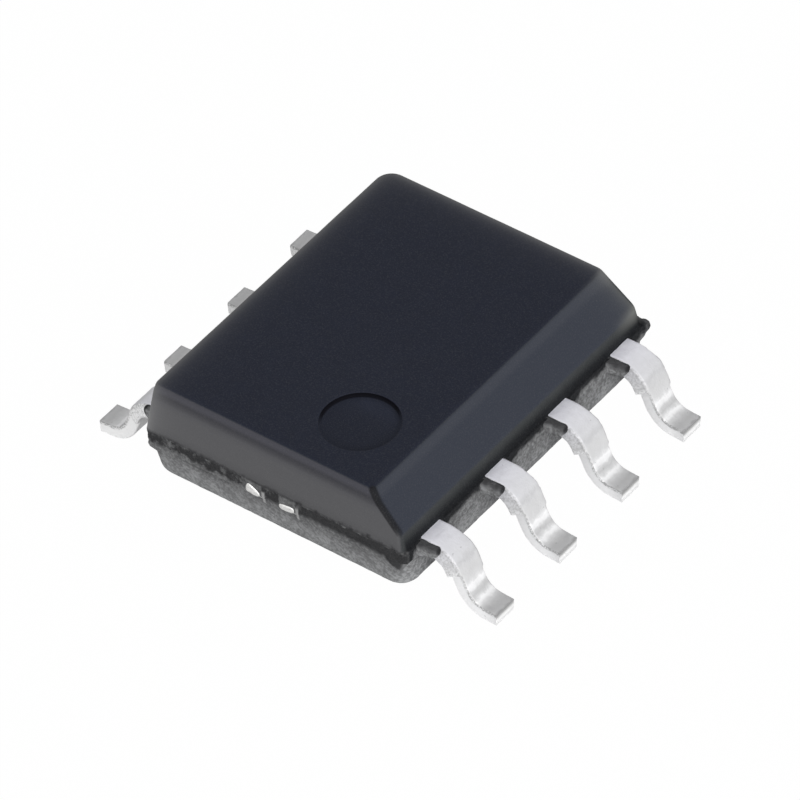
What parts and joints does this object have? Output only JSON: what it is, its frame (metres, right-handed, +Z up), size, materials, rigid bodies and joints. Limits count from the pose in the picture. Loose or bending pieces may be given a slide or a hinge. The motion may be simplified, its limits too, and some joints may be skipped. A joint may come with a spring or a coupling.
{
  "type": "surface-mount voltage converter chip",
  "caption": "Small moulded surface-mount chip package with gull-wing leads on two sides, a bevel and a round index dimple; converts one supply voltage to another.",
  "frame": {"origin": "under the middle of the package, in the plane the feet rest on", "axes": "+Z up from the board, +Y along the body towards the end with leads 1 and 8, +X across the body away from lead 1 and the bevel"},
  "size_m": [0.006, 0.005, 0.0016],
  "materials": {
    "resin": "moulded epoxy, fine matte grain",
    "plated_lead": "matte tin plating over copper alloy",
    "bare_frame": "bare copper alloy with bright sheared ends",
    "adhesive": "silver-filled epoxy",
    "silicon": "polished silicon",
    "bond_wire": "bare copper wire"
  },
  "bodies": {
    "root": {"package_body": "resin", "lead_1": "plated_lead", "lead_2": "plated_lead", "lead_3": "plated_lead", "lead_4": "plated_lead", "lead_5": "plated_lead", "lead_6": "plated_lead", "lead_7": "plated_lead", "lead_8": "plated_lead", "die_pad": "bare_frame", "die_attach": "adhesive", "die": "silicon", "bond_wire_1": "bond_wire", "bond_wire_2": "bond_wire", "bond_wire_3": "bond_wire", "bond_wire_4": "bond_wire", "bond_wire_5": "bond_wire", "bond_wire_6": "bond_wire", "bond_wire_7": "bond_wire", "bond_wire_8": "bond_wire"}
  },
  "joints": []
}
